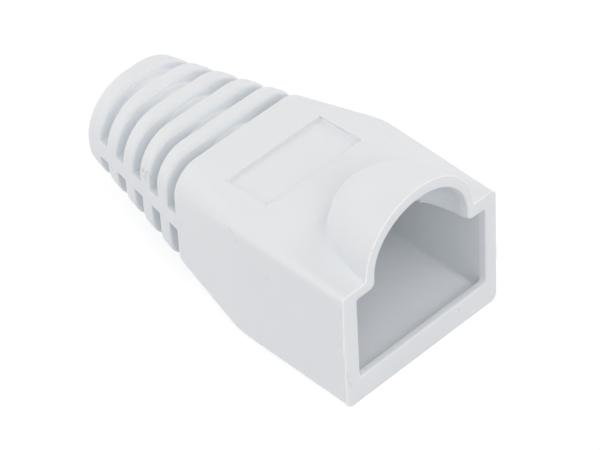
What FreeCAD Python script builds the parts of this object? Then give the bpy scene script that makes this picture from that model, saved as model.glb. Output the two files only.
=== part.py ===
"""Strain relief boot for a modular plug, one moulding of soft PVC.

A square sleeve slides over the back of the plug. A hood on its top covers the plug's
latch. Behind the sleeve the body tapers to a round neck, which five grooves let bend
with the cable.

Millimetres, +Z up. The mouth faces -Y and the cable leaves at +Y. The origin is the
middle of the length, on the plane that the sleeve stands on.
"""
import FreeCAD, Part
import math
import os

from FreeCAD import Vector

# Pocket for the plug
POCKET_WIDTH = 11.6
POCKET_HEIGHT = 7.7
POCKET_DEPTH = 11.0
LIP_DEPTH = 0.55
LIP_HEIGHT = 0.8

# Sleeve round the pocket
SIDE_WALL = 1.15
FLOOR_WALL = 1.2
ROOF_WALL = 0.9
SLEEVE_LENGTH = 10.0
SLEEVE_FLARE = 0.17
SLEEVE_RISE = 0.3
MOUTH_TOP_RADIUS = 0.45
MOUTH_LOW_RADIUS = 0.55
BEND_RADIUS = 0.85

# Hood over the latch
HOOD_RADIUS = 4.83
HOOD_LENGTH = 6.7
HOOD_WALL = 0.75
HOOD_FOOT_RADIUS = 0.45

# Taper from the sleeve to the tail
SHOULDER_LENGTH = 6.6
SHOULDER_RADIUS = 2.15
END_RING_LENGTH = 1.55
TAIL_WIDTH = 8.75
TAIL_HEIGHT = 7.85
TAIL_LIFT = 1.0
TAIL_FLAT = 0.1

# Grooves that let the neck bend
GROOVE_COUNT = 5
GROOVE_WIDTH = 0.95
RIB_WIDTH = 1.1
WEB_HEIGHT = 1.35
PARTING_HEIGHT = 5.25

# Tube inside the neck
CABLE_BORE_RADIUS = 3.0
TUBE_WALL = 0.85
TUBE_FLARE = 0.3
BORE_SETBACK = 0.55

# Recess for a label on the top
LABEL_WIDTH = 8.6
LABEL_LENGTH = 3.9
LABEL_START = 9.45
LABEL_DEPTH = 0.2
LABEL_CORNER_RADIUS = 0.3

# Reach of a cutting tool past the surface that it opens
OVERSHOOT = 1.0

# Places along the boot
groove_pitch = GROOVE_WIDTH + RIB_WIDTH
grooved_length = GROOVE_COUNT * groove_pitch - RIB_WIDTH
taper_length = SHOULDER_LENGTH + grooved_length + END_RING_LENGTH
length = SLEEVE_LENGTH + taper_length
mouth_y = -length / 2
bend_y = mouth_y + SLEEVE_LENGTH
shoulder_y = bend_y + SHOULDER_LENGTH
tail_y = mouth_y + length
pocket_end_y = mouth_y + POCKET_DEPTH
bore_start_y = shoulder_y - BORE_SETBACK

# Outer sizes
mouth_half_width = POCKET_WIDTH / 2 + SIDE_WALL
mouth_top_z = FLOOR_WALL + POCKET_HEIGHT + ROOF_WALL
bend_half_width = mouth_half_width + SLEEVE_FLARE
bend_top_z = mouth_top_z + SLEEVE_RISE
tail_radius = TAIL_HEIGHT / 2 - TAIL_FLAT
tail_top_z = TAIL_LIFT + TAIL_HEIGHT
bore_z = TAIL_LIFT + TAIL_HEIGHT / 2
ceiling_z = FLOOR_WALL + POCKET_HEIGHT


def between(low, high, share):
    """Value at a share of the way from low to high."""
    return low + (high - low) * share


def arc(centre, radius, start_deg):
    """Quarter circle in the plane across the boot, anticlockwise from start_deg."""
    points = []
    for turn in (0, 45, 90):
        angle = math.radians(start_deg + turn)
        points.append(centre + Vector(math.cos(angle), 0, math.sin(angle)) * radius)
    return points


def section(y, half_width, low_z, top_z, low_radius, top_radius):
    """Edges of a rounded rectangle across the boot at y, a corner and a side in turn."""
    corners = [
        (Vector(half_width - top_radius, y, top_z - top_radius), top_radius, 0),
        (Vector(top_radius - half_width, y, top_z - top_radius), top_radius, 90),
        (Vector(low_radius - half_width, y, low_z + low_radius), low_radius, 180),
        (Vector(half_width - low_radius, y, low_z + low_radius), low_radius, 270),
    ]
    arcs = [arc(*corner) for corner in corners]
    edges = []
    for index, points in enumerate(arcs):
        edges.append(Part.Arc(*points).toShape())
        following = arcs[(index + 1) % len(arcs)]
        edges.append(Part.LineSegment(points[2], following[0]).toShape())
    return edges


def make_strip(front, back):
    """Face between two matching edges, flat between the sides and curved between the corners."""
    if isinstance(front.Curve, Part.Line):
        ends = [edge.valueAt(place) for edge in (front, back) for place in edge.ParameterRange]
        return Part.Face(Part.makePolygon([ends[0], ends[1], ends[3], ends[2], ends[0]]))
    return Part.makeRuledSurface(front, back)


def taper_section(y, radius):
    """Outer section of the taper at y, a straight blend from the bend to the tail."""
    share = (y - bend_y) / taper_length
    half_width = between(bend_half_width, TAIL_WIDTH / 2, share)
    low_z = between(0, TAIL_LIFT, share)
    top_z = between(bend_top_z, tail_top_z, share)
    return section(y, half_width, low_z, top_z, radius, radius)


def make_outside():
    """Solid sleeve and taper with flat sides, before anything is cut."""
    mouth = section(mouth_y, mouth_half_width, 0, mouth_top_z, MOUTH_LOW_RADIUS, MOUTH_TOP_RADIUS)
    bend = taper_section(bend_y, BEND_RADIUS)
    shoulder = taper_section(shoulder_y, SHOULDER_RADIUS)
    tail = taper_section(tail_y, tail_radius)
    faces = [Part.Face(Part.Wire(mouth)), Part.Face(Part.Wire(tail))]
    for front, back in [(mouth, bend), (bend, shoulder), (shoulder, tail)]:
        faces += [make_strip(*pair) for pair in zip(front, back)]
    shell = Part.Shell(faces)
    shell.sewShape()
    outside = Part.Solid(shell)
    if outside.Volume < 0:
        outside.reverse()
    return outside


def ellipse(centre, reach_x, reach_y):
    """Level ellipse with its two reaches along X and Y."""
    end_x = centre + Vector(reach_x, 0, 0)
    end_y = centre + Vector(0, reach_y, 0)
    if reach_y > reach_x:
        return Part.Ellipse(end_y, end_x, centre)
    return Part.Ellipse(end_x, end_y, centre)


def make_dome(radius, reach):
    """Half of a bullet nose: round across the boot, an ellipse along it."""
    centre = Vector(0, mouth_y, mouth_top_z)
    disc = Part.Face(Part.Wire(ellipse(centre, radius, reach).toShape()))
    corner = Vector(0, mouth_y, mouth_top_z - OVERSHOOT)
    quarter = Part.makeBox(radius, reach, 2 * OVERSHOOT, corner)
    return disc.common(quarter).revolve(centre, Vector(0, -1, 0), 180)


def make_hood_space():
    """Space under the hood, carried down through the roof of the pocket."""
    radius = HOOD_RADIUS - HOOD_WALL
    reach = HOOD_LENGTH - HOOD_WALL
    outline = ellipse(Vector(0, mouth_y, ceiling_z), radius, reach).toShape()
    well = Part.Face(Part.Wire(outline)).extrude(Vector(0, 0, ROOF_WALL))
    return make_dome(radius, reach).fuse(well)


def make_pocket():
    """Space for the plug, less the lip along the bottom of the mouth."""
    corner = Vector(-POCKET_WIDTH / 2, mouth_y - OVERSHOOT, FLOOR_WALL)
    space = Part.makeBox(POCKET_WIDTH, POCKET_DEPTH + OVERSHOOT, POCKET_HEIGHT, corner)
    lip = Part.makeBox(POCKET_WIDTH, LIP_DEPTH + OVERSHOOT, LIP_HEIGHT, corner)
    return space.cut(lip)


def make_cable_way():
    """Bore for the cable, with a cone that leads into it from the pocket."""
    pocket_centre_z = FLOOR_WALL + POCKET_HEIGHT / 2
    corner_reach = math.hypot(POCKET_WIDTH / 2, POCKET_HEIGHT / 2 + abs(pocket_centre_z - bore_z))
    cone = Part.makeCone(
        corner_reach, CABLE_BORE_RADIUS, bore_start_y - pocket_end_y,
        Vector(0, pocket_end_y, bore_z), Vector(0, 1, 0),
    )
    corner = Vector(-POCKET_WIDTH / 2, pocket_end_y, FLOOR_WALL)
    limit = Part.makeBox(POCKET_WIDTH, bore_start_y - pocket_end_y, POCKET_HEIGHT, corner)
    bore = Part.makeCylinder(
        CABLE_BORE_RADIUS, tail_y - pocket_end_y + OVERSHOOT,
        Vector(0, pocket_end_y, bore_z), Vector(0, 1, 0),
    )
    return cone.common(limit).fuse(bore)


def make_neck_tube():
    """Tapering tube round the cable, which is the floor of every groove."""
    tail_tube_radius = CABLE_BORE_RADIUS + TUBE_WALL
    shoulder_tube_radius = tail_tube_radius + TUBE_FLARE
    along = Vector(0, 1, 0)
    front = Part.makeCircle(shoulder_tube_radius, Vector(0, shoulder_y, bore_z), along)
    back = Part.makeCircle(tail_tube_radius, Vector(0, tail_y, bore_z), along)
    return Part.makeLoft([Part.Wire(front), Part.Wire(back)], True, True)


def make_grooves():
    """All the grooves round the neck, stopped at the tube and at the two side webs."""
    span = 2 * bend_half_width + 2 * OVERSHOOT
    height = bend_top_z + 2 * OVERSHOOT
    web = Part.makeBox(
        span, taper_length, WEB_HEIGHT, Vector(-span / 2, bend_y, PARTING_HEIGHT - WEB_HEIGHT / 2)
    )
    kept = make_neck_tube().fuse(web)
    slabs = []
    for index in range(GROOVE_COUNT):
        start_y = shoulder_y + index * groove_pitch
        slab = Part.makeBox(span, GROOVE_WIDTH, height, Vector(-span / 2, start_y, -OVERSHOOT))
        slabs.append(slab.cut(kept))
    return slabs


def top_z_at(y):
    """Height of the outside's top at y."""
    if y < bend_y:
        return between(mouth_top_z, bend_top_z, (y - mouth_y) / SLEEVE_LENGTH)
    return between(bend_top_z, tail_top_z, (y - bend_y) / taper_length)


def make_label_recess():
    """Shallow tray of one depth that follows the top over the bend."""
    start_y = mouth_y + LABEL_START
    end_y = start_y + LABEL_LENGTH
    stations = [start_y, end_y]
    if start_y < bend_y < end_y:
        stations.insert(1, bend_y)
    roof_z = bend_top_z + OVERSHOOT
    left = -LABEL_WIDTH / 2
    corners = [Vector(left, y, top_z_at(y) - LABEL_DEPTH) for y in stations]
    corners += [Vector(left, end_y, roof_z), Vector(left, start_y, roof_z)]
    side = Part.Face(Part.makePolygon(corners + corners[:1]))
    tray = side.extrude(Vector(LABEL_WIDTH, 0, 0))
    upright = [edge for edge in tray.Edges if edge.tangentAt(edge.FirstParameter).z ** 2 > 0.99]
    return tray.makeFillet(LABEL_CORNER_RADIUS, upright)


def is_hood_foot(edge):
    """Whether an edge is the curved one where the space under the hood meets the ceiling."""
    box = edge.BoundBox
    level = abs(box.ZMin - ceiling_z) < 0.001 and box.ZLength < 0.001
    return level and not isinstance(edge.Curve, Part.Line) and box.YMin < mouth_y + HOOD_LENGTH


def make_boot():
    """The whole boot as one solid."""
    boot = make_outside().fuse(make_dome(HOOD_RADIUS, HOOD_LENGTH))
    for space in [make_pocket(), make_hood_space(), make_cable_way(), make_label_recess()]:
        boot = boot.cut(space)
    boot = boot.cut(make_grooves()).removeSplitter()
    foot = [edge for edge in boot.Edges if is_hood_foot(edge)]
    return boot.makeFillet(HOOD_FOOT_RADIUS, foot)


def main():
    """Write the boot's STEP file and say what it measures."""
    boot = make_boot()
    solids = boot.Solids
    box = boot.BoundBox
    print("solids", len(solids), "valid", boot.isValid(), "volume mm3", round(boot.Volume, 2))
    print("box", [round(value, 3) for value in (box.XLength, box.YLength, box.ZLength)])
    print("bore", round(bore_start_y, 3), "to", round(tail_y, 3), "at height", round(bore_z, 3))
    os.makedirs("parts", exist_ok=True)
    solids[0].exportStep("parts/boot.step")


main()
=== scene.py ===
"""Looks of a strain relief boot for a modular plug, one moulding of soft PVC.

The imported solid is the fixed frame. The visible boot is a closed skin whose points
are moved by a Geometry Nodes tree onto the boot's outside and onto its pocket.
"""
import logging
import math
from dataclasses import dataclass, fields, replace
from enum import Enum
from functools import partialmethod
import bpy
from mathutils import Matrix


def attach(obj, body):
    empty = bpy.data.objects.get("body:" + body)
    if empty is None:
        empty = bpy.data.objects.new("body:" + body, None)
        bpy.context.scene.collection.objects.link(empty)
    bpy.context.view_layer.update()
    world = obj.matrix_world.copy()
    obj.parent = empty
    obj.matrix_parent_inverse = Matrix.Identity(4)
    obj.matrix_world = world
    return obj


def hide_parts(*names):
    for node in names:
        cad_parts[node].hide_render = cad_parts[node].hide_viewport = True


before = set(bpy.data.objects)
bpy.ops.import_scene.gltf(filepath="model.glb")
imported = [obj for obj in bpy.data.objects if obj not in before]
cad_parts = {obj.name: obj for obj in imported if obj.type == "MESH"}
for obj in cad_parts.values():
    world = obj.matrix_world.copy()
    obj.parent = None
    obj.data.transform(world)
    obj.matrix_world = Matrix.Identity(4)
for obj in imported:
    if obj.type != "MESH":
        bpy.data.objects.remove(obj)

from types import SimpleNamespace

import bpy
from mathutils import Matrix, Vector

Numbers = SimpleNamespace
Tree = bpy.types.NodeTree
Socket = bpy.types.NodeSocket
Place = tuple[float, float, float]
Shifts = tuple[float, ...]
Stretches = tuple[tuple[float, float, int], ...]
LOG = logging.getLogger("boot")
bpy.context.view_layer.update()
MILLIMETRE = 0.001
# A depth or height in mm beyond any of the boot's.
FAR = 10.0
NEARLY_ALL = 0.999
WHITE = (1.0, 1.0, 1.0, 1.0)
# What a ring of points says about each point on it.
RING_PARTS = ("inset", "lift", "lip", "turn", "least", "flash", "inside")


def linear(hex_colour: str) -> tuple[float, float, float, float]:
    """Linear red, green, blue and an alpha of 1 for an sRGB colour in six hex digits."""
    channels = [int(hex_colour[at:at + 2], 16) / 255 for at in (1, 3, 5)]
    red, green, blue = [
        value / 12.92 if value <= 0.04045 else ((value + 0.055) / 1.055) ** 2.4
        for value in channels
    ]
    return red, green, blue, 1.0


def add_node(tree: Tree, kind: str, inputs: dict | None = None, **settings: object) -> bpy.types.Node:
    """Adds one node to a tree, with its settings and what goes into it.

    Args:
        tree: the tree that gets the node.
        kind: the node's type.
        inputs: a field, node, socket or plain value for each input, by name or number.
        settings: the node's own properties.

    Returns:
        The new node.
    """
    node = tree.nodes.new(kind)
    for name, value in settings.items():
        setattr(node, name, value)
    for key, source in (inputs or {}).items():
        source = source.outputs[0] if isinstance(source, bpy.types.Node) else source
        source = getattr(source, "socket", source)
        if isinstance(source, Socket):
            tree.links.new(source, node.inputs[key])
        else:
            node.inputs[key].default_value = source
    return node


@dataclass(frozen=True)
class Field:
    """A number that differs from point to point, and works in sums like a plain one."""

    tree: Tree
    socket: Socket

    def apply(self, operation: str, *others: "Field | float") -> "Field":
        """Joins this number and others by one of Blender's operations."""
        terms = dict(enumerate((self, *others)))
        node = add_node(self.tree, "ShaderNodeMath", terms, operation=operation)
        return Field(self.tree, node.outputs[0])

    __add__ = partialmethod(apply, "ADD")
    __sub__ = partialmethod(apply, "SUBTRACT")
    __mul__ = partialmethod(apply, "MULTIPLY")
    __truediv__ = partialmethod(apply, "DIVIDE")
    __abs__ = partialmethod(apply, "ABSOLUTE")
    root = partialmethod(apply, "SQRT")

    def __neg__(self) -> "Field":
        """The same number with the other sign."""
        return self * -1.0

    def low(self, other: "Field | float", blend: float = 0.0) -> "Field":
        """The smaller of two numbers, with a soft change over a blend."""
        return self.apply("SMOOTH_MIN", other, blend) if blend else self.apply("MINIMUM", other)

    def high(self, other: "Field | float", blend: float = 0.0) -> "Field":
        """The larger of two numbers, with a soft change over a blend."""
        return self.apply("SMOOTH_MAX", other, blend) if blend else self.apply("MAXIMUM", other)

    def clamp(self) -> "Field":
        """The number held between 0 and 1."""
        return self.low(1.0).high(0.0)

    def above(self, other: "Field | float") -> "Field":
        """1 where this number is larger, else 0."""
        return self.apply("GREATER_THAN", other)

    def ease(self) -> "Field":
        """The number from 0 to 1 with a soft start and a soft end."""
        share = self.clamp()
        return share * share * (share * -2.0 + 3.0)


def length_of(*sides: Field) -> Field:
    """Length of the diagonal over some sides at right angles."""
    total = sides[0] * sides[0]
    for side in sides[1:]:
        total = total + side * side
    return total.root()


def between(first: Field, last: Field, share: Field) -> Field:
    """Number that lies a share of the way from the first to the last."""
    return first + (last - first) * share


def parts_of(tree: Tree, vector: Socket | bpy.types.Node) -> list[Field]:
    """The three numbers of a vector."""
    split = add_node(tree, "ShaderNodeSeparateXYZ", {0: vector})
    return [Field(tree, output) for output in split.outputs]


def spread(first: float, last: float, count: int) -> list[float]:
    """Evenly spaced numbers from the first to the last, both included."""
    return [first + (last - first) * step / (count - 1) for step in range(count)]


def quarter_turn(steps: int) -> list[float]:
    """Angles over a quarter turn in radians, one more than its steps."""
    return [math.radians(angle) for angle in spread(0, 90, steps + 1)]


def direction(azimuth: float, elevation: float) -> Vector:
    """Way towards two angles in degrees, where azimuth 0 is before the mouth."""
    across = math.radians(azimuth)
    upward = math.radians(elevation)
    return Vector((
        math.sin(across) * math.cos(upward), -math.cos(across) * math.cos(upward), math.sin(upward),
    ))


def add_object(name: str, data: bpy.types.ID) -> bpy.types.Object:
    """Puts a new object in the scene."""
    made = bpy.data.objects.new(name, data)
    bpy.context.scene.collection.objects.link(made)
    return made


def empty_tree(owner: bpy.types.Material | bpy.types.World) -> Tree:
    """Clears the nodes of a material or a world."""
    owner.use_nodes = True
    owner.node_tree.nodes.clear()
    return owner.node_tree


class Skin(Enum):
    """The two sides of the boot's wall."""

    OUTSIDE = 0.0
    INSIDE = 1.0


@dataclass(frozen=True)
class Station:
    """One ring of points round the boot.

    Attributes:
        y: where the ring is along the boot.
        inset: depth below the outside.
        lift: height above a groove's floor, or growth of the opening.
        lip: height of the catch on the pocket's floor.
        skin: the side of the wall.
        turn: distance from a groove's wall, on the rib's rounded front edge.
        least: depth at which that edge's rounding ends, above a fillet.
        flash: share of the thin bead round the mouth.
    """

    y: float
    inset: float = 0.0
    lift: float = -FAR
    lip: float = 0.0
    skin: Skin = Skin.OUTSIDE
    turn: float = 0.0
    least: float = -FAR
    flash: float = 0.0

    @property
    def inside(self) -> float:
        """1 on the inside of the wall, else 0."""
        return self.skin.value


@dataclass(frozen=True)
class Guide:
    """One line of points along the boot, placed by shares of the outline's parts.

    Attributes:
        label: from the middle to the label's side edge, below 0 on the left.
        border: from that edge to the boot's side, below 0 on the left.
        web: from the webs' bottom to their top.
        upper: from the webs' top to the roof.
        lower: from the webs' bottom to the base.
    """

    label: float
    border: float
    web: float
    upper: float
    lower: float


GUIDE_PARTS = tuple(part.name for part in fields(Guide))


@dataclass(frozen=True)
class Run:
    """Even rows of points between two edges, with a gap in mm to each edge."""

    count: int
    first_gap: float = 0.0
    last_gap: float = 0.0

    def places(self, first: float, last: float) -> list[float]:
        """Where the rows are, from one edge towards the other."""
        way = math.copysign(1.0, last - first)
        return spread(first + way * self.first_gap, last - way * self.last_gap, self.count)


@dataclass(frozen=True)
class Fineness:
    """How finely the skin is divided.

    Shifts, gaps, insets and depths are millimetres from an edge. A stretch is the first
    and the last place of some guide lines at the bend, and how many they are.
    """

    tail_rim_steps: int = 5
    rib_front_steps: int = 6
    rib_back_steps: int = 2
    fillet_steps: int = 4
    hidden_fillet_steps: int = 2
    tail_gap: float = 0.08
    rib_gap: float = 0.06
    roof: Run = Run(7, 0.4, 0.25)
    label: Run = Run(9, 0.3, 0.3)
    front: Run = Run(4, 0.35, 0.85)
    edge_shifts: Shifts = (0.12, 0.09, 0.065, 0.04, 0.005, -0.01, -0.06)
    apex_shifts: Shifts = (0.65, 0.5, 0.39, 0.3, 0.22, 0.15, 0.09, 0.04)
    hood_steps: int = 54
    flash_gap: float = 0.05
    flash_turn: int = 15
    face_insets: Shifts = (0.03, 0.08, 0.2)
    opening_depths: Shifts = (
        0.0, 0.012, 0.035, 0.065, 0.1, 0.15, 0.22, 0.3, 0.4, 0.49, 0.53, 0.55,
    )
    lip_gap: float = 0.55
    hood_air_steps: int = 38
    hood_air_shifts: Shifts = (0.05, 0.12, 0.21, 0.33, 0.5)
    pocket: Run = Run(7, 1.0, 0.35)
    cone: Run = Run(17)
    bore: Run = Run(8, 0.3, 0.3)
    bore_rim_steps: int = 3
    label_lines: int = 42
    label_gap: float = 0.12
    beside_label: Stretches = ((4.47, 5.35, 9), (5.55, 6.15, 4), (6.25, 7.12, 9))
    above_webs: Stretches = ((9.99, 9.1, 9), (8.75, 6.75, 6), (6.6, 5.985, 6))
    web_top_shifts: Shifts = (0.02, -0.02, -0.08, -0.16, -0.26, -0.4)
    web_middle: Shifts = (5.3, 5.05)
    web_bottom_shifts: Shifts = (0.4, 0.26, 0.16, 0.08, 0.02, -0.02)
    below_webs: Stretches = (
        (4.505, 3.75, 6), (3.4, 1.95, 5), (1.8, 0.95, 7), (0.82, 0.0, 8),
    )
    underneath: Stretches = ((7.01, 6.25, 8), (6.0, 0.0, 13))


def lines(stretches: Stretches) -> list[float]:
    """Where the guide lines of some stretches are."""
    return [place for stretch in stretches for place in spread(*stretch)]


@dataclass(frozen=True)
class BootSizes:
    """Sizes of the boot in millimetres, which are the inputs of the shape's tree.

    Those of the outside are the solid's, and the inside departs by 0.3 mm at most.
    """

    mouth_y: float = -13.65
    bend_y: float = -3.65
    shoulder_y: float = 2.95
    tail_y: float = 13.65
    mouth_half_width: float = 6.95
    bend_half_width: float = 7.12
    tail_half_width: float = 4.375
    mouth_top: float = 9.8
    bend_top: float = 10.1
    tail_top: float = 8.85
    tail_bottom: float = 1.0
    mouth_top_radius: float = 0.45
    mouth_low_radius: float = 0.55
    bend_radius: float = 0.85
    shoulder_radius: float = 2.15
    tail_radius: float = 3.825
    hood_radius: float = 4.83
    hood_length: float = 6.7
    hood_wall: float = 0.84
    hood_spread: float = 1.04
    core_shift: float = 0.15
    roof_tilt: float = 0.0254
    pocket_half_width: float = 5.79
    pocket_floor: float = 1.2
    pocket_ceiling: float = 8.87
    pocket_end_y: float = -2.65
    pocket_low_radius: float = 0.2
    pocket_top_radius: float = 0.12
    hood_air_bottom: float = 6.5
    cone_radius: float = 7.03
    bore_start_y: float = 2.4
    bore_radius: float = 3.0
    bore_height: float = 4.925
    tube_radius: float = 3.78
    tube_flare: float = 0.14
    web_bottom: float = 4.575
    web_top: float = 5.925
    label_half_width: float = 4.3
    label_front_y: float = -4.2
    label_back_y: float = -0.3
    label_front_depth: float = 0.31
    label_back_depth: float = 0.2


def rounded_edge(face_y: float, facing: int, radius: float, steps: int,
                 lift: float = -FAR) -> list[Station]:
    """Rings over a rounded outer edge, from the outside onto the face.

    Facing is 1 for a face that looks to the tail, -1 for one that looks to the mouth.
    """
    rings = []
    for turn in quarter_turn(steps):
        y = face_y - facing * radius * (1 - math.sin(turn))
        rings.append(Station(y, radius * (1 - math.cos(turn)), lift))
    return rings


def hollow_edge(wall_y: float, facing: int, radius: float, least: float, steps: int) -> list[Station]:
    """Rings over the fillet at a groove's wall, from the wall onto the floor.

    Facing is as for a rounded edge, and least is the radius of the one above the wall.
    """
    rings = []
    for turn in quarter_turn(steps):
        y = wall_y + facing * radius * (1 - math.cos(turn))
        rings.append(Station(y, FAR, radius * (1 - math.sin(turn)), least=least))
    return rings


def fall(radius: float, depth: float) -> float:
    """How far a rounded edge lies back at a depth behind its face."""
    return radius - math.sqrt(radius ** 2 - max(radius - depth, 0.0) ** 2)


def beyond(place: Field, low: Field, high: Field) -> Field:
    """Distance from the span between two places, below zero within it."""
    return abs(place - (low + high) * 0.5) - (high - low) * 0.5


def rounded_box(x: Field, z: Field, outline: tuple[Field, ...]) -> Field:
    """Distance from the edge of a rounded rectangle across the boot, below zero inside."""
    half_width, low_z, top_z, low_radius, top_radius = outline
    radius = between(low_radius, top_radius, z.above((low_z + top_z) * 0.5))
    past_side = abs(x) - half_width + radius
    past_top = beyond(z, low_z, top_z) + radius
    corner = length_of(past_side.high(0.0), past_top.high(0.0))
    return corner + past_side.high(past_top).low(0.0) - radius


def bullet(x: Field, y: Field, z: Field, radius: Field, length: Field) -> Field:
    """Rough distance from a bullet nose round its own middle, below zero inside."""
    sides = [x / radius, y / length, z / radius]
    share = length_of(*sides)
    slope = length_of(sides[0] / radius, sides[1] / length, sides[2] / radius)
    return share * (share - 1.0) / slope


def tube_radius(y: Field, size: Numbers) -> Field:
    """Outer radius of the tube under the grooves at y."""
    share = (size.tail_y - y) / (size.tail_y - size.shoulder_y)
    return size.tube_radius + size.tube_flare * share


def label_edge(x: Field, y: Field, size: Numbers) -> Field:
    """Distance from the label's outline, below zero on the label."""
    past_side = abs(x) - size.label_half_width
    return past_side.high(beyond(y, size.label_front_y, size.label_back_y))


@dataclass
class Boot:
    """The whole boot: a skin of rings and guide lines, moved onto its shape.

    Sizes are in millimetres. A blend is the width of a soft change between two shapes.
    """

    name: str = "boot_skin"
    sizes: BootSizes = BootSizes()
    rows: Fineness = Fineness()
    groove_count: int = 5
    groove_width: float = 0.95
    rib_width: float = 1.1
    rib_front_radius: float = 0.4
    rib_back_radius: float = 0.08
    least_turn: float = 0.0001
    groove_fillet: float = 0.1
    hidden_fillet: float = 0.05
    fillet_growth: float = 0.8
    rounding_share: float = 0.48
    rounding_growth: float = 0.17
    rounding_least: float = 0.3
    rounding_blends: tuple[float, float] = (0.1, 0.2)
    web_blend: float = 0.12
    floor_blend: float = 0.2
    narrow_half_width: float = 6.588
    tail_rim_radius: float = 0.3
    bore_rim_radius: float = 0.15
    flash_width: float = 0.1
    flash_height: float = 0.05
    flash_setback: float = 0.03
    ripple_scale: float = 1.5
    ripple_share: float = 1.2
    knot_height: float = 0.12
    knot_reach: float = 0.85
    knot_slope: float = 0.4
    knot_least_x: float = 6.5
    left_knot_z: float = 5.5
    right_knot_z: float = 4.25
    right_knot_share: float = 0.5
    hair_path: tuple[Place, ...] = (
        (-6.82, -13.65, 3.05), (-6.75, -13.66, 2.6), (-6.45, -13.67, 2.1), (-6.61, -13.65, 1.6),
    )
    hair_radius: float = 0.05
    hair_taper: float = 0.6
    burr_place: Place = (3.57, -10.22, 8.9)
    burr_radius: float = 0.12
    burr_height_share: float = 0.7
    opening_rim_radius: float = 0.1
    opening_flare: float = 0.1
    lip_height: float = 0.8
    lip_depth: float = 0.55
    lip_radius: float = 0.18
    lip_edge_depth: float = 0.49
    lip_edge_slope: float = 1.5
    lip_foot: tuple[tuple[float, float], ...] = (
        (0.03, 0.5), (0.08, 0.3), (0.15, 0.16), (0.24, 0.07), (0.36, 0.02), (0.5, 0.0),
    )
    lip_corner_growth: float = 1.1
    lip_corner_loss: float = 1.2
    hood_fillet: float = 0.25
    hood_foot_fillet: float = 0.8
    cone_blend: float = 0.4
    bore_blend: float = 0.06
    bend_softness: float = 1.6
    label_bead: float = 0.045
    bead_middle: float = 0.062
    bead_width: float = 0.06
    bead_start: float = 0.9
    bead_reach: float = 0.1
    label_undercut: float = 0.035
    undercut_reach: float = 0.02
    label_edge_width: float = 0.0025
    search_radius: float = 6.5
    search_steps: int = 22
    merge_distance: float = 2e-6
    sharp_angle: float = 50.0

    def groove(self, start_y: float) -> list[Station]:
        """Rings over one groove, from the rib behind it to its wall at start_y and past that."""
        rows = self.rows
        radius = self.rib_front_radius
        end_y = start_y + self.groove_width
        rings = [
            Station(ring.y, ring.inset, 0.0, turn=max(ring.y - end_y, self.least_turn))
            for ring in rounded_edge(end_y, -1, radius, rows.rib_front_steps)
        ]
        rings += hollow_edge(end_y, -1, self.groove_fillet, radius, rows.fillet_steps)
        rings.append(Station((start_y + end_y) / 2, FAR, 0.0))
        hidden = hollow_edge(start_y, 1, self.hidden_fillet, 0.0, rows.hidden_fillet_steps)
        back = rounded_edge(start_y, 1, self.rib_back_radius, rows.rib_back_steps, 0.0)
        rings += hidden[::-1] + back[::-1]
        rings.append(Station(start_y - self.rib_back_radius - rows.rib_gap))
        return rings

    def edge_band(self, edge: float, outward: int) -> list[float]:
        """Places from beyond the label's edge to within it, close enough for a crisp step."""
        return [edge + outward * shift for shift in self.rows.edge_shifts]

    def outer_stations(self) -> list[Station]:
        """Rings over the outside, from the tail to the mouth."""
        size = self.sizes
        rows = self.rows
        rings = rounded_edge(size.tail_y, 1, self.tail_rim_radius, rows.tail_rim_steps)[::-1]
        rings.append(Station(size.tail_y - self.tail_rim_radius - rows.tail_gap))
        pitch = self.groove_width + self.rib_width
        for index in reversed(range(self.groove_count)):
            rings += self.groove(size.shoulder_y + index * pitch)
        apex_y = size.mouth_y + size.hood_length
        places = rows.roof.places(size.shoulder_y, size.label_back_y)
        places += self.edge_band(size.label_back_y, 1)
        places += rows.label.places(size.label_back_y, size.label_front_y)
        places += self.edge_band(size.label_front_y, -1)[::-1]
        places += rows.front.places(size.label_front_y, apex_y)
        places += [apex_y + shift for shift in rows.apex_shifts]
        for turn in quarter_turn(rows.hood_steps)[:0:-1]:
            places.append(size.mouth_y + size.hood_length * math.sin(turn))
        last_y = size.mouth_y + self.flash_width + rows.flash_gap
        rings += [Station(y) for y in places if y > last_y]
        rings.append(Station(last_y))
        for angle in range(-rows.flash_turn, 180, rows.flash_turn):
            turn = math.radians(angle)
            y = size.mouth_y + self.flash_setback + self.flash_width / 2 * math.cos(turn)
            rings.append(Station(y, flash=math.sin(max(turn, 0.0))))
        return rings + [Station(size.mouth_y, inset) for inset in rows.face_insets]

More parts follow.
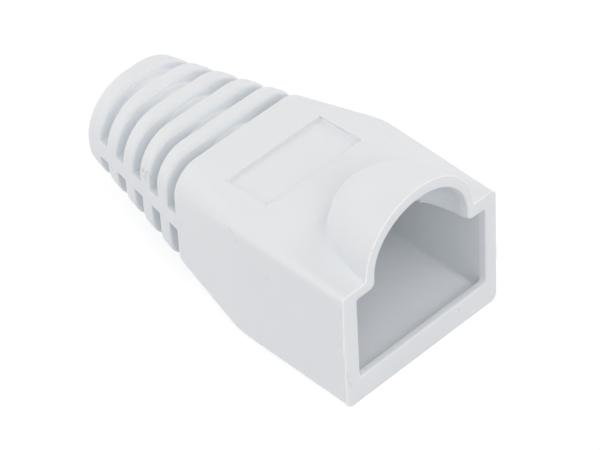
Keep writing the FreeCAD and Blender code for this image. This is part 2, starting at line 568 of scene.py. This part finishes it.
    def inner_stations(self) -> list[Station]:
        """Rings over the inside, from the mouth to the tail."""
        size = self.sizes
        rows = self.rows
        rings = []
        for depth in rows.opening_depths:
            flare = self.opening_flare * (1 - depth / self.lip_depth)
            lift = fall(self.opening_rim_radius, depth) + flare
            drop = fall(self.lip_radius, depth)
            drop += max(depth - self.lip_edge_depth, 0.0) * self.lip_edge_slope - flare
            rings.append(Station(size.mouth_y + depth, 0.0, lift, self.lip_height - drop, Skin.INSIDE))
        foot_y = size.mouth_y + self.lip_depth
        rings += [Station(foot_y + shift, 0.0, 0.0, lip, Skin.INSIDE) for shift, lip in self.lip_foot]
        reach = size.hood_length - size.hood_wall
        apex_y = size.mouth_y + reach
        places = [size.mouth_y + reach * math.sin(turn) for turn in quarter_turn(rows.hood_air_steps)]
        places = [y for y in places if y > foot_y + rows.lip_gap]
        places += [apex_y + shift for shift in rows.hood_air_shifts]
        places += rows.pocket.places(apex_y, size.pocket_end_y)
        places += rows.cone.places(size.pocket_end_y, size.bore_start_y)
        places += rows.bore.places(size.bore_start_y, size.tail_y)
        rings += [Station(y, 0.0, 0.0, 0.0, Skin.INSIDE) for y in places]
        for turn in quarter_turn(rows.bore_rim_steps):
            y = size.tail_y - self.bore_rim_radius * (1 - math.sin(turn))
            rings.append(Station(y, 0.0, self.bore_rim_radius * (1 - math.cos(turn)), 0.0, Skin.INSIDE))
        return rings

    def guides(self) -> list[Guide]:
        """Guide lines once round the boot, from the middle of the top over the right side."""
        size = self.sizes
        rows = self.rows
        edge = size.label_half_width
        height = size.bend_top - size.bore_height
        steepest = math.atan((edge - rows.label_gap) / height)
        across = [height * math.tan(angle) for angle in spread(0, steepest, rows.label_lines)]
        across += self.edge_band(edge, 1)[::-1] + lines(rows.beside_label)
        down = lines(rows.above_webs)
        down += [size.web_top + shift for shift in rows.web_top_shifts]
        down += rows.web_middle
        down += [size.web_bottom + shift for shift in rows.web_bottom_shifts]
        down += lines(rows.below_webs)
        right = [self.flat_guide(x, 1.0) for x in across]
        right += [self.side_guide(z) for z in down]
        right += [self.flat_guide(x, 0.0) for x in lines(rows.underneath)]
        left = [replace(one, label=-one.label, border=-one.border) for one in right]
        return right + left[-2:0:-1]

    def flat_guide(self, x: float, top: float) -> Guide:
        """Guide line along the top, or along the bottom if top is 0, at a place across."""
        size = self.sizes
        beside = max(x - size.label_half_width, 0.0)
        border = beside / (size.bend_half_width - size.label_half_width)
        return Guide(min(x / size.label_half_width, 1.0), border, top, top, 1.0 - top)

    def side_guide(self, z: float) -> Guide:
        """Guide line along the side, at a height."""
        size = self.sizes
        web = (z - size.web_bottom) / (size.web_top - size.web_bottom)
        upper = (z - size.web_top) / (size.bend_top - size.web_top)
        lower = (size.web_bottom - z) / size.web_bottom
        return Guide(1.0, 1.0, *(min(max(share, 0.0), 1.0) for share in (web, upper, lower)))

    def make_cage(self) -> bpy.types.Mesh:
        """Plain closed tube of rings and guide lines, before it is moved onto the shape."""
        rings = self.outer_stations() + self.inner_stations()
        guides = self.guides()
        count = len(guides)
        points = []
        quads = []
        for row, ring in enumerate(rings):
            start = row * count
            following = (row + 1) % len(rings) * count
            for column in range(count):
                turn = 2 * math.pi * column / count
                points.append((math.sin(turn), ring.y, math.cos(turn)))
                beside = (column + 1) % count
                quads.append((start + column, following + column, following + beside, start + beside))
        mesh = bpy.data.meshes.new(self.name)
        mesh.from_pydata(points, [], quads)
        columns = {name: [getattr(ring, name) for ring in rings for _ in guides] for name in RING_PARTS}
        for name in GUIDE_PARTS:
            columns[name] = [getattr(one, name) for one in guides] * len(rings)
        for name, values in columns.items():
            mesh.attributes.new(name, "FLOAT", "POINT").data.foreach_set("value", values)
        LOG.info("cage: %d rings of %d points", len(rings), count)
        return mesh

    def shape_tree(self, finish: bpy.types.Material) -> tuple[Tree, dict]:
        """Builds the tree that moves the cage onto the boot and gives it its material.

        Returns:
            The tree, and the identifier of each size's input by name.
        """
        tree = bpy.data.node_groups.new("boot shape", "GeometryNodeTree")
        for way in ("INPUT", "OUTPUT"):
            tree.interface.new_socket("Geometry", in_out=way, socket_type="NodeSocketGeometry")
        names = [part.name for part in fields(self.sizes)]
        identifiers = {}
        for name in names:
            title = name.replace("_", " ").capitalize()
            socket = tree.interface.new_socket(title, in_out="INPUT", socket_type="NodeSocketFloat")
            identifiers[name] = socket.identifier
        entry = add_node(tree, "NodeGroupInput")
        values = [Field(tree, output) for output in entry.outputs[1:]]
        size = Numbers(**dict(zip(names, values)))
        skin = self.skin(tree, entry.outputs[0], size)
        joined = add_node(tree, "GeometryNodeJoinGeometry")
        for socket in (self.burr(tree), self.hair(tree), skin):
            tree.links.new(socket, joined.inputs[0])
        scaled = add_node(tree, "GeometryNodeTransform", {
            "Geometry": joined, "Scale": (MILLIMETRE, MILLIMETRE, MILLIMETRE),
        })
        merged = add_node(tree, "GeometryNodeMergeByDistance", {
            "Geometry": scaled, "Distance": self.merge_distance,
        })
        whole = add_node(tree, "GeometryNodeRealizeInstances", {0: merged})
        dressed = add_node(tree, "GeometryNodeSetMaterial", {"Geometry": whole, "Material": finish})
        add_node(tree, "NodeGroupOutput", {0: dressed})
        return tree, identifiers

    def skin(self, tree: Tree, cage: Socket, size: Numbers) -> Socket:
        """Moves the cage's points onto the boot, on rays out from the bore's middle."""
        x, y, z = parts_of(tree, add_node(tree, "GeometryNodeInputPosition"))
        given = Numbers()
        for name in RING_PARTS + GUIDE_PARTS:
            node = add_node(tree, "GeometryNodeInputNamedAttribute", {"Name": name}, data_type="FLOAT")
            setattr(given, name, Field(tree, node.outputs["Attribute"]))
        outline = self.outline(y, size)
        toward_x, toward_z = self.ray(given, size, outline)
        reach = length_of(toward_x, toward_z)
        height = toward_z + size.bore_height
        beyond_web = beyond(height, size.web_bottom, size.web_top)
        shrink = self.rounding(reach - tube_radius(y, size), beyond_web)
        outside = self.outside(x, y, z, size, outline)
        floor = self.groove_floor(x, y, z, size, outside)
        rounded = given.turn.above(0.0)
        inset = given.inset * (rounded * (shrink - 1.0) + 1.0)
        shelf = (outside + given.least * shrink).low(floor)
        lift = given.lift.low(given.lift * (beyond_web * self.fillet_growth).clamp())
        wall = outside.high(shelf).high((outside + inset).low(floor - lift))
        wall = wall - given.flash * self.flash_rise(toward_x, height)
        air = self.air(x, y, z, size, given.lip) - given.lift
        depth = between(wall, air, given.inside)
        toward = (toward_x / reach, toward_z / reach)
        start = add_node(tree, "ShaderNodeCombineXYZ", {
            0: toward[0] * self.search_radius,
            1: y - given.turn * (-shrink + 1.0),
            2: toward[1] * self.search_radius + size.bore_height,
        })
        placed = add_node(tree, "GeometryNodeSetPosition", {"Geometry": cage, "Position": start})
        found = self.search(tree, placed.outputs[0], depth, toward)
        on_top = given.upper.above(NEARLY_ALL) * (-given.inside + 1.0)
        within = self.within_label(x, y, size)
        sunk = add_node(tree, "ShaderNodeCombineXYZ", {
            0: on_top * self.undercut(x, size.label_half_width) * within,
            1: on_top * self.undercut(y, size.label_back_y) * within,
            2: -self.label_depth(x, y, size) * on_top,
        })
        pressed = add_node(tree, "GeometryNodeSetPosition", {"Geometry": found, "Offset": sunk})
        return pressed.outputs[0]

    def ray(self, given: Numbers, size: Numbers, outline: tuple[Field, ...]) -> tuple[Field, Field]:
        """Way across and up from the bore's middle to a guide line on the plain outside."""
        half_width, low_z, top_z = outline[:3]
        drawn_in = half_width * (size.label_half_width / self.narrow_half_width)
        span = size.label_half_width.low(drawn_in)
        toward_x = given.label * span + given.border * (half_width - span)
        toward_z = (
            size.web_bottom - size.bore_height
            + given.web * (size.web_top - size.web_bottom)
            + given.upper * (top_z - size.web_top)
            - given.lower * (size.web_bottom - low_z)
        )
        return toward_x, toward_z

    def rounding(self, groove_depth: Field, beyond_web: Field) -> Field:
        """Share of a rib's front rounding that is left, as shallow grooves have less of it."""
        first_blend, last_blend = self.rounding_blends
        room = groove_depth * (self.rounding_share / self.rib_front_radius)
        grown = beyond_web * self.rounding_growth + self.rounding_least
        return room.low(grown, first_blend).low(1.0, last_blend).high(self.rounding_least)

    def search(self, tree: Tree, geometry: Socket, depth: Field, toward: tuple[Field, Field]) -> Socket:
        """Moves each point along its ray onto the wall, by steps that halve.

        The depth is the distance from the wall, below zero nearer to the bore, and toward
        is the ray's way across and up, of length 1.
        """
        zone_in = add_node(tree, "GeometryNodeRepeatInput")
        zone_out = add_node(tree, "GeometryNodeRepeatOutput")
        zone_in.pair_with_output(zone_out)
        zone_out.repeat_items.new("FLOAT", "Step")
        zone_in.inputs["Iterations"].default_value = self.search_steps
        zone_in.inputs["Step"].default_value = self.search_radius / 2
        tree.links.new(geometry, zone_in.inputs["Geometry"])
        step = Field(tree, zone_in.outputs["Step"])
        move = step * (depth.above(0.0) * -2.0 + 1.0)
        shift = add_node(tree, "ShaderNodeCombineXYZ", {0: toward[0] * move, 2: toward[1] * move})
        moved = add_node(tree, "GeometryNodeSetPosition", {
            "Geometry": zone_in.outputs["Geometry"], "Offset": shift,
        })
        tree.links.new(moved.outputs[0], zone_out.inputs["Geometry"])
        tree.links.new((step * 0.5).socket, zone_out.inputs["Step"])
        return zone_out.outputs["Geometry"]

    def outline(self, y: Field, size: Numbers) -> tuple[Field, ...]:
        """Half width, bottom, top, low radius and top radius of the plain outside at y."""
        sleeve = size.bend_y - size.mouth_y
        taper = size.tail_y - size.bend_y
        past = (y - size.bend_y).high(0.0, self.bend_softness) / taper
        before = -((size.bend_y - y).high(0.0, self.bend_softness) / sleeve) + 1.0
        half_width, top_z = (
            between(mouth, bend, before) + (tail - bend) * past for mouth, bend, tail in (
                (size.mouth_half_width, size.bend_half_width, size.tail_half_width),
                (size.mouth_top, size.bend_top, size.tail_top),
            )
        )
        low_z = size.tail_bottom * past
        shoulder = ((y - size.bend_y) / (size.shoulder_y - size.bend_y)).clamp()
        neck = ((y - size.shoulder_y) / (size.tail_y - size.shoulder_y)).clamp()
        grown = (
            (size.shoulder_radius - size.bend_radius) * shoulder
            + (size.tail_radius - size.shoulder_radius) * neck
        )
        low_radius, top_radius = (
            between(radius, size.bend_radius, before.clamp()) + grown
            for radius in (size.mouth_low_radius, size.mouth_top_radius)
        )
        return half_width, low_z, top_z, low_radius, top_radius

    def outside(self, x: Field, y: Field, z: Field, size: Numbers, outline: tuple[Field, ...]) -> Field:
        """Distance from the ungrooved outside with its hood, below zero in the plastic."""
        body = rounded_box(x, z, outline)
        hood = bullet(x, y - size.mouth_y, z - size.mouth_top, size.hood_radius, size.hood_length)
        return body.low(hood, self.hood_fillet)

    def flash_rise(self, x: Field, z: Field) -> Field:
        """Height of the mouth's flash: an uneven bead, with a knot at each side."""
        place = add_node(x.tree, "ShaderNodeCombineXYZ", {0: x, 2: z})
        noise = add_node(x.tree, "ShaderNodeTexNoise", {
            "Vector": place, "Scale": self.ripple_scale, "Detail": 2.0,
        })
        ripple = (Field(x.tree, noise.outputs[0]) - 0.5) * self.ripple_share + 1.0
        right = x.above(0.0)
        knot_z = right * (self.right_knot_z - self.left_knot_z) + self.left_knot_z
        knot = ((abs(z - knot_z) - self.knot_reach) / -self.knot_slope).ease() * self.knot_height
        knot = knot * abs(x).above(self.knot_least_x) * (right * (self.right_knot_share - 1.0) + 1.0)
        return ripple * self.flash_height + knot

    def hair(self, tree: Tree) -> Socket:
        """Thin curl of flash that lies on the mouth's face, near the left corner."""
        path = dict(zip(("Start", "Start Handle", "End Handle", "End"), self.hair_path))
        bend = add_node(tree, "GeometryNodeCurvePrimitiveBezierSegment", {
            "Resolution": 16, **path,
        }, mode="POSITION")
        along = Field(tree, add_node(tree, "GeometryNodeSplineParameter").outputs["Factor"])
        ring = add_node(tree, "GeometryNodeCurvePrimitiveCircle", {
            "Resolution": 10, "Radius": self.hair_radius,
        })
        tube = add_node(tree, "GeometryNodeCurveToMesh", {
            "Curve": bend, "Profile Curve": ring,
            "Scale": along * -self.hair_taper + 1.0, "Fill Caps": True,
        })
        return tube.outputs[0]

    def burr(self, tree: Tree) -> Socket:
        """Small burr on the edge between the roof's underside and the hood."""
        ball = add_node(tree, "GeometryNodeMeshIcoSphere", {
            "Radius": self.burr_radius, "Subdivisions": 3,
        })
        placed = add_node(tree, "GeometryNodeTransform", {
            "Geometry": ball, "Translation": self.burr_place,
            "Scale": (1.0, 1.0, self.burr_height_share),
        })
        return placed.outputs[0]

    def groove_floor(self, x: Field, y: Field, z: Field, size: Numbers, outside: Field) -> Field:
        """Distance from the tube and the two webs that stop a groove."""
        tube = length_of(x, z - size.bore_height) - tube_radius(y, size)
        web = beyond(z, size.web_bottom, size.web_top).high(outside, self.web_blend)
        return tube.low(web, self.floor_blend)

    def air(self, x: Field, y: Field, z: Field, size: Numbers, lip: Field) -> Field:
        """Distance from the wall of the pocket and the bore, below zero in the air."""
        grown = lip * (lip * -self.lip_corner_loss + self.lip_corner_growth)
        roof_drop = (x + size.pocket_half_width) * size.roof_tilt
        outline = (
            size.pocket_half_width, size.pocket_floor + lip, size.pocket_ceiling - roof_drop,
            grown + size.pocket_low_radius, size.pocket_top_radius,
        )
        across = x - size.core_shift
        pocket = rounded_box(across, z, outline)
        past = (y - size.pocket_end_y) / (size.bore_start_y - size.pocket_end_y)
        narrowing = (size.cone_radius - size.bore_radius) * past.low(1.0, self.bore_blend)
        cone = length_of(x, z - size.bore_height) - (size.cone_radius - narrowing)
        hood = bullet(
            across / size.hood_spread, y - size.mouth_y,
            (z + roof_drop - size.mouth_top).high(0.0),
            size.hood_radius - size.hood_wall, size.hood_length - size.hood_wall,
        )
        hood = hood.high(-z + size.hood_air_bottom)
        return pocket.high(cone, self.cone_blend).low(hood, self.hood_foot_fillet)

    def undercut(self, along: Field, edge: Field) -> Field:
        """How far a point at the foot of the label's wall leans out under the wall's top edge."""
        near = (along - edge).above(-self.undercut_reach)
        return near * (edge - along).above(self.label_edge_width) * self.label_undercut

    def within_label(self, x: Field, y: Field, size: Numbers) -> Field:
        """1 on the label, else 0."""
        return (-label_edge(x, y, size)).above(self.label_edge_width)

    def label_depth(self, x: Field, y: Field, size: Numbers) -> Field:
        """How far the label's tray lies below the top at a place, with the bead round it."""
        edge = label_edge(x, y, size)
        forward = (size.label_back_y - y) / (size.label_back_y - size.label_front_y)
        depth = between(size.label_back_depth, size.label_front_depth, forward)
        leftmost = (-x).above(size.label_half_width - self.bead_reach)
        marked = forward.above(self.bead_start).high(leftmost)
        bead = (abs(edge - self.bead_middle) / -self.bead_width + 1.0).ease() * marked
        return depth * self.within_label(x, y, size) - bead * self.label_bead

    def build(self, finish: bpy.types.Material) -> None:
        """Makes the boot's mesh with its material and puts it in the scene."""
        piece = add_object(self.name, self.make_cage())
        tree, identifiers = self.shape_tree(finish)
        modifier = piece.modifiers.new("shape", "NODES")
        modifier.node_group = tree
        for name, identifier in identifiers.items():
            modifier[identifier] = getattr(self.sizes, name)
        bpy.context.view_layer.update()
        shaped = piece.evaluated_get(bpy.context.evaluated_depsgraph_get())
        mesh = bpy.data.meshes.new_from_object(shaped)
        piece.modifiers.clear()
        piece.data = mesh
        mesh.shade_smooth()
        mesh.set_sharp_from_angle(angle=math.radians(self.sharp_angle))
        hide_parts("boot")
        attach(piece, "root")
        LOG.info("%s: %d points, %d faces", self.name, len(mesh.vertices), len(mesh.polygons))


def nearness(tree: Tree, place: Socket, middle: Place, radius: float) -> Field:
    """1 at a middle in millimetres, down to 0 at a radius from it."""
    spot = tuple(part * MILLIMETRE for part in middle)
    away = add_node(tree, "ShaderNodeVectorMath", {0: place, 1: spot}, operation="DISTANCE")
    return (Field(tree, away.outputs["Value"]) / (-radius * MILLIMETRE) + 1.0).clamp()


def tinted(tree: Tree, share: object, below: object, colour: str) -> Socket:
    """Colour that goes from the one below to another by a share."""
    mixed = add_node(tree, "ShaderNodeMix", {
        "Factor": share, 6: below, 7: linear(colour),
    }, data_type="RGBA")
    return mixed.outputs[2]


@dataclass(frozen=True)
class SoftVinyl:
    """Plasticised PVC, injection moulded in a fine-eroded tool: a satin, faintly cloudy off-white.

    Sizes and places are in millimetres, and a strength is the share of a mark's colour.
    """

    colour: str = "#EBF0F4"
    shade: str = "#E8EDF1"
    cloud_size: float = 3.5
    roughness: float = 0.55
    ior: float = 1.53
    translucency: float = 0.25
    light_reach: Place = (1.0, 0.95, 0.9)
    light_depth: float = 0.5
    grain_size: float = 0.12
    grain_height: float = 0.004
    grain_strength: float = 0.5
    # Painted highlight: a paler colour on the mouth's flash bead, on the curl of flash proud of its
    # face and along the parting line, where their edges would catch the light.
    flash: str = "#FCFCFF"
    flash_reach: float = 0.06
    flash_proud: float = 0.012
    flash_facing: float = 0.9
    speck: str = "#C2C7CC"
    speck_spacing: float = 2.4
    speck_radius: float = 0.08
    specks: tuple[Place, ...] = (
        (-7.02, -3.4, 9.45), (-7.04, -3.56, 9.42), (-7.07, -3.74, 9.38), (-7.1, -4.16, 8.94),
        (-6.98, -2.77, 4.9), (-7.07, -6.86, 7.41), (-7.07, -6.72, 7.1), (-4.22, -13.66, 12.22),
        (3.36, -13.65, 1.56), (3.44, -13.65, 1.42),
    )
    mark_radius: float = 0.13
    mark_strength: float = 0.45
    # Painted highlight: a pale line along the parting line on the left side.
    parting_start: tuple[float, float] = (-9.7, 4.73)
    parting_end: tuple[float, float] = (-13.45, 5.04)
    parting_width: float = 0.07
    parting_highlight_strength: float = 0.4
    parting_least_x: float = 6.0
    gate_place: Place = (-5.5, 6.37, 6.95)
    gate_radius: float = 0.6
    crumb_size: float = 0.22
    crumb_contrast: float = 8.0

    def parting_highlight_share(self, tree: Tree, place: Socket) -> Field:
        """Share of the painted highlight along the faint parting line on the left side, from the mouth
        backwards.
        """
        x, y, z = parts_of(tree, place)
        start_y, start_z = self.parting_start
        end_y, end_z = self.parting_end
        along = (y / MILLIMETRE - start_y) / (end_y - start_y)
        height = along * (end_z - start_z) + start_z
        line = (abs(z / MILLIMETRE - height) / -self.parting_width + 1.0).clamp()
        on_left = (-x).above(self.parting_least_x * MILLIMETRE)
        faded = along.ease() * (-along).above(-1.0) * on_left
        return line * faded * self.parting_highlight_strength

    def flash_highlight_share(self, tree: Tree, place: Socket, normal: Socket) -> Field:
        """Share of the painted highlight: 1 on the thin flash round the mouth and on what stands proud
        of its face, 0 elsewhere, and between them on the parting line.
        """
        sizes = BootSizes()
        x, y, z = parts_of(tree, place)
        toward_x, toward_y, toward_z = parts_of(tree, normal)
        outward = toward_x * x + toward_z * (z - sizes.bore_height * MILLIMETRE)
        depth = y / MILLIMETRE - sizes.mouth_y
        near = (depth / -self.flash_reach + 2.0).clamp()
        proud = (-depth).above(self.flash_proud)
        off_face = (toward_y + self.flash_facing).above(0.0)
        bead = proud.high(near * outward.above(0.0) * off_face)
        return bead.high(self.parting_highlight_share(tree, place))

    def speck_share(self, tree: Tree, place: Socket) -> Field:
        """Share of the speck's colour, on pinhead specks of dirt and at the torn gate."""
        cells = add_node(tree, "ShaderNodeTexVoronoi", {
            "Vector": place, "Scale": 1 / (self.speck_spacing * MILLIMETRE),
        })
        reach = self.speck_radius / self.speck_spacing
        share = (Field(tree, cells.outputs["Distance"]) / -reach + 1.0).clamp()
        for speck in self.specks:
            share = share.high(nearness(tree, place, speck, self.mark_radius))
        return self.gate_share(tree, place).high(share * self.mark_strength)

    def gate_share(self, tree: Tree, place: Socket) -> Field:
        """1 in the crumbs of the torn-off gate, on the rib where the plastic went in, else 0."""
        near = nearness(tree, place, self.gate_place, self.gate_radius)
        noise = add_node(tree, "ShaderNodeTexNoise", {
            "Vector": place, "Scale": 1 / (self.crumb_size * MILLIMETRE),
        })
        crumbs = (Field(tree, noise.outputs[0]) - 0.5) * self.crumb_contrast
        return crumbs.clamp() * near.root()

    def material(self) -> bpy.types.Material:
        """Builds the material. The grain is the tool's texture, the shade is uneven pigment, and the
        paler colour on the flash and the parting line is a painted highlight.
        """
        made = bpy.data.materials.new("soft PVC, moulded")
        tree = empty_tree(made)
        coordinates = add_node(tree, "ShaderNodeTexCoord")
        place = coordinates.outputs["Object"]
        cloud = add_node(tree, "ShaderNodeTexNoise", {
            "Vector": place, "Scale": 1 / (self.cloud_size * MILLIMETRE),
            "Detail": 3.0, "Roughness": 0.55,
        })
        plain = tinted(tree, cloud.outputs["Fac"], linear(self.colour), self.shade)
        # Painted highlight on the flash round the mouth, the curl on its face and the parting line.
        painted_highlight = self.flash_highlight_share(tree, place, coordinates.outputs["Normal"])
        highlighted = tinted(tree, painted_highlight, plain, self.flash)
        specked = tinted(tree, self.speck_share(tree, place), highlighted, self.speck)
        grain = add_node(tree, "ShaderNodeTexNoise", {
            "Vector": place, "Scale": 1 / (self.grain_size * MILLIMETRE),
            "Detail": 2.0, "Roughness": 0.6,
        })
        bump = add_node(tree, "ShaderNodeBump", {
            "Height": grain.outputs["Fac"], "Strength": self.grain_strength,
            "Distance": self.grain_height * MILLIMETRE,
        })
        shader = add_node(tree, "ShaderNodeBsdfPrincipled", {
            "Base Color": specked, "Roughness": self.roughness, "IOR": self.ior,
            "Subsurface Weight": self.translucency, "Subsurface Radius": self.light_reach,
            "Subsurface Scale": self.light_depth * MILLIMETRE, "Normal": bump,
        })
        add_node(tree, "ShaderNodeOutputMaterial", {"Surface": shader})
        return made


@dataclass(frozen=True)
class Lamp:
    """One soft round lamp of a slightly warm white, aimed at the boot. Sizes are in metres."""

    name: str
    azimuth: float
    elevation: float
    power: float
    distance: float = 0.35
    size: float = 0.18
    colour: str = "#FFF9F6"

    def add(self, target: Vector) -> None:
        """Puts the lamp in the scene, turned to a target."""
        data = bpy.data.lights.new(self.name, "AREA")
        data.shape = "DISK"
        data.size = self.size
        data.energy = self.power
        data.color = linear(self.colour)[:3]
        outward = direction(self.azimuth, self.elevation)
        lamp = add_object(self.name, data)
        lamp.location = target + outward * self.distance
        lamp.rotation_euler = outward.to_track_quat("Z", "Y").to_euler()


def seen_directly(tree: Tree) -> Field:
    """1 for what the camera, a reflection or a view through glass sees, else 0."""
    ray = add_node(tree, "ShaderNodeLightPath")
    seen = Field(tree, ray.outputs["Is Camera Ray"])
    for name in ("Is Glossy Ray", "Is Transmission Ray"):
        seen = seen.high(Field(tree, ray.outputs[name]))
    return seen


@dataclass
class Studio:
    """White paper on the table, soft light from all round and five lamps.

    The camera sees the paper glow, a little less near the boot, so that the light on
    its grey still shows the boot's shadow. Sizes are in metres.
    """

    daylight: str = "#FFFDFC"
    daylight_strength: float = 0.42
    table: str = "#F0F2F4"
    shadow_grey: str = "#8E9092"
    near_glow: float = 0.8
    fade_start: float = 0.06
    fade_length: float = 0.14
    floor_half_width: float = 2.0
    aim_height: float = 0.005
    lamps: tuple[Lamp, ...] = (
        Lamp("key lamp", -20, 52, 0.38, size=0.3),
        Lamp("front lamp", 0, 28, 0.12),
        Lamp("left lamp", -120, 25, 0.24),
        Lamp("back lamp", 180, 25, 0.25),
        Lamp("right lamp", 90, 25, 0.27),
    )

    def build(self) -> None:
        """Makes the floor, the world and the lamps."""
        mesh = bpy.data.meshes.new("floor")
        half = self.floor_half_width
        corners = [(-half, -half, 0), (half, -half, 0), (half, half, 0), (-half, half, 0)]
        mesh.from_pydata(corners, [], [(0, 1, 2, 3)])
        floor = add_object("floor", mesh)
        mesh.materials.append(self.paper())
        self.light_world()
        for lamp in self.lamps:
            lamp.add(Vector((0, 0, self.aim_height)))
        LOG.info("studio: floor, world and %d lamps", len(self.lamps))

    def paper(self) -> bpy.types.Material:
        """White paper, which the camera sees bright enough to be the background."""
        made = bpy.data.materials.new("white paper")
        tree = empty_tree(made)
        diffuse = add_node(tree, "ShaderNodeBsdfDiffuse", {"Color": linear(self.table)})
        grey = add_node(tree, "ShaderNodeBsdfDiffuse", {"Color": linear(self.shadow_grey)})
        place = add_node(tree, "ShaderNodeTexCoord").outputs["Object"]
        away = add_node(tree, "ShaderNodeVectorMath", {0: place}, operation="LENGTH")
        faded = ((Field(tree, away.outputs["Value"]) - self.fade_start) / self.fade_length).ease()
        glow = add_node(tree, "ShaderNodeEmission", {
            "Color": WHITE, "Strength": faded * (1 - self.near_glow) + self.near_glow,
        })
        bright = add_node(tree, "ShaderNodeAddShader", {0: grey, 1: glow})
        mixed = add_node(tree, "ShaderNodeMixShader", {0: seen_directly(tree), 1: diffuse, 2: bright})
        add_node(tree, "ShaderNodeOutputMaterial", {"Surface": mixed})
        return made

    def light_world(self) -> None:
        """Even light from all round, seen as white by the camera."""
        world = bpy.data.worlds.new("studio")
        bpy.context.scene.world = world
        tree = empty_tree(world)
        even = add_node(tree, "ShaderNodeBackground", {
            "Color": linear(self.daylight), "Strength": self.daylight_strength,
        })
        white = add_node(tree, "ShaderNodeBackground", {"Color": WHITE, "Strength": 1.0})
        mixed = add_node(tree, "ShaderNodeMixShader", {0: seen_directly(tree), 1: even, 2: white})
        add_node(tree, "ShaderNodeOutputWorld", {"Surface": mixed})


@dataclass(frozen=True)
class Viewpoint:
    """The camera, at the viewing angle of the picture. Distances are in millimetres."""

    azimuth: float = -42.267267
    elevation: float = 43.301636
    roll: float = 3.43138
    focal_pixels: float = 3431.5406
    picture_width: int = 600
    sensor_width: float = 36.0
    distance: float = 224.72304
    shift_right: float = 2.2034112
    shift_up: float = -0.9677574
    nearest: float = 1.0
    target: Place = (0.0, -5.65, 5.0)

    def build(self) -> None:
        """Makes the camera and gives it to the scene."""
        azimuth = math.radians(self.azimuth)
        right = Vector((math.cos(azimuth), math.sin(azimuth), 0))
        back = direction(self.azimuth, self.elevation)
        up = back.cross(right)
        turn = Matrix.Rotation(math.radians(self.roll), 3, "Z")
        axes = turn @ Matrix((right, up, back))
        offset = Vector((self.shift_right, self.shift_up, -self.distance))
        place = Vector(self.target) - axes.transposed() @ offset
        data = bpy.data.cameras.new("camera")
        data.sensor_width = self.sensor_width
        data.lens = self.focal_pixels * self.sensor_width / self.picture_width
        data.clip_start = self.nearest * MILLIMETRE
        camera = add_object("camera", data)
        camera.matrix_world = Matrix.LocRotScale(
            place * MILLIMETRE, axes.transposed().to_quaternion(), Vector((1, 1, 1))
        )
        bpy.context.scene.camera = camera
        LOG.info("camera: %.1f mm lens", data.lens)


def main() -> None:
    """Builds the scene."""
    logging.basicConfig(level=logging.INFO, format="%(name)s: %(message)s")
    bpy.context.scene.view_settings.view_transform = "Standard"
    Viewpoint().build()
    Studio().build()
    Boot().build(SoftVinyl().material())


if __name__ == "__main__":
    main()
